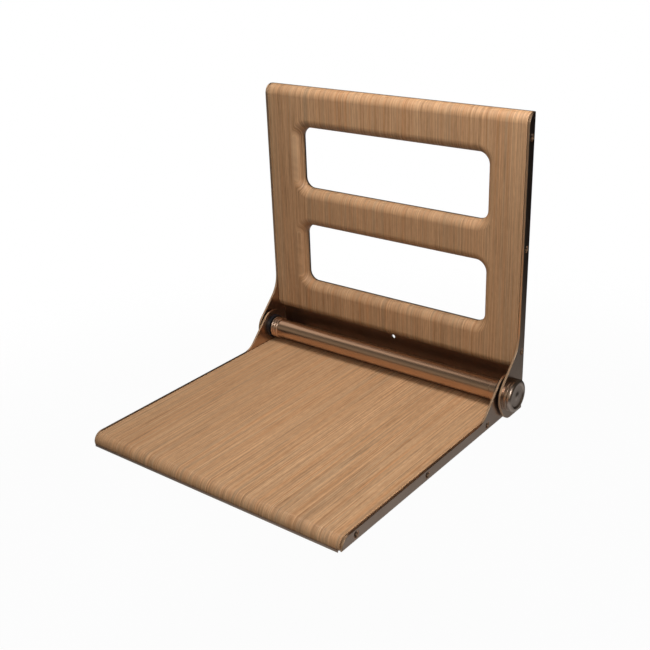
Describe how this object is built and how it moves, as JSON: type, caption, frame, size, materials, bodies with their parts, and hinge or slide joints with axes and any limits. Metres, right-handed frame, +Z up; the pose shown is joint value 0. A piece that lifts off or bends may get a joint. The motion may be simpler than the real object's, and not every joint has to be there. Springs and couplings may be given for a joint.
{
  "type": "fold down wall seat",
  "caption": "Wall mounted folding seat: timber panels in folded metal trays, a windowed back and a seat that swings up on a cross tube hinge.",
  "frame": {"origin": "centre of the rectangle of four wall bolts, on the rear face that lies against the wall", "axes": "+Z up, +Y into the wall, so the seat reaches out along -Y, and +X to the right of a viewer who faces the wall"},
  "size_m": [0.4165, 0.3865, 0.3855],
  "materials": {
    "tray_metal": "satin bronze coloured coating on folded sheet",
    "hinge_metal": "turned and polished, bronze coloured coating",
    "screw_metal": "satin bronze coloured coating",
    "timber": "oiled, fine straight grain",
    "black_polymer": "moulded, satin black",
    "black_rubber": "moulded rubber"
  },
  "bodies": {
    "wall_frame": {"back_tray": "tray_metal", "back_panel": "timber", "back_screws_left": "screw_metal", "back_screws_right": "screw_metal", "hinge_shaft": "hinge_metal", "hinge_tube": "hinge_metal", "collar_left": "hinge_metal", "collar_right": "hinge_metal", "ear_spacer_left": "black_polymer", "ear_spacer_right": "black_polymer", "head_washer": "hinge_metal", "outer_boss": "hinge_metal", "hinge_cap": "hinge_metal"},
    "seat": {"seat_tray": "tray_metal", "seat_panel": "timber", "seat_screws_left": "screw_metal", "seat_screws_right": "screw_metal", "bush_left": "black_polymer", "bush_right": "black_polymer", "stop_pad_left": "black_rubber", "stop_pad_right": "black_rubber"}
  },
  "joints": [
    {"name": "seat_fold", "type": "hinge", "parent": "wall_frame", "child": "seat", "pos_m": [0, -0.037, -0.185], "axis": [-1, 0, 0], "range_deg": [0, 90]}
  ]
}
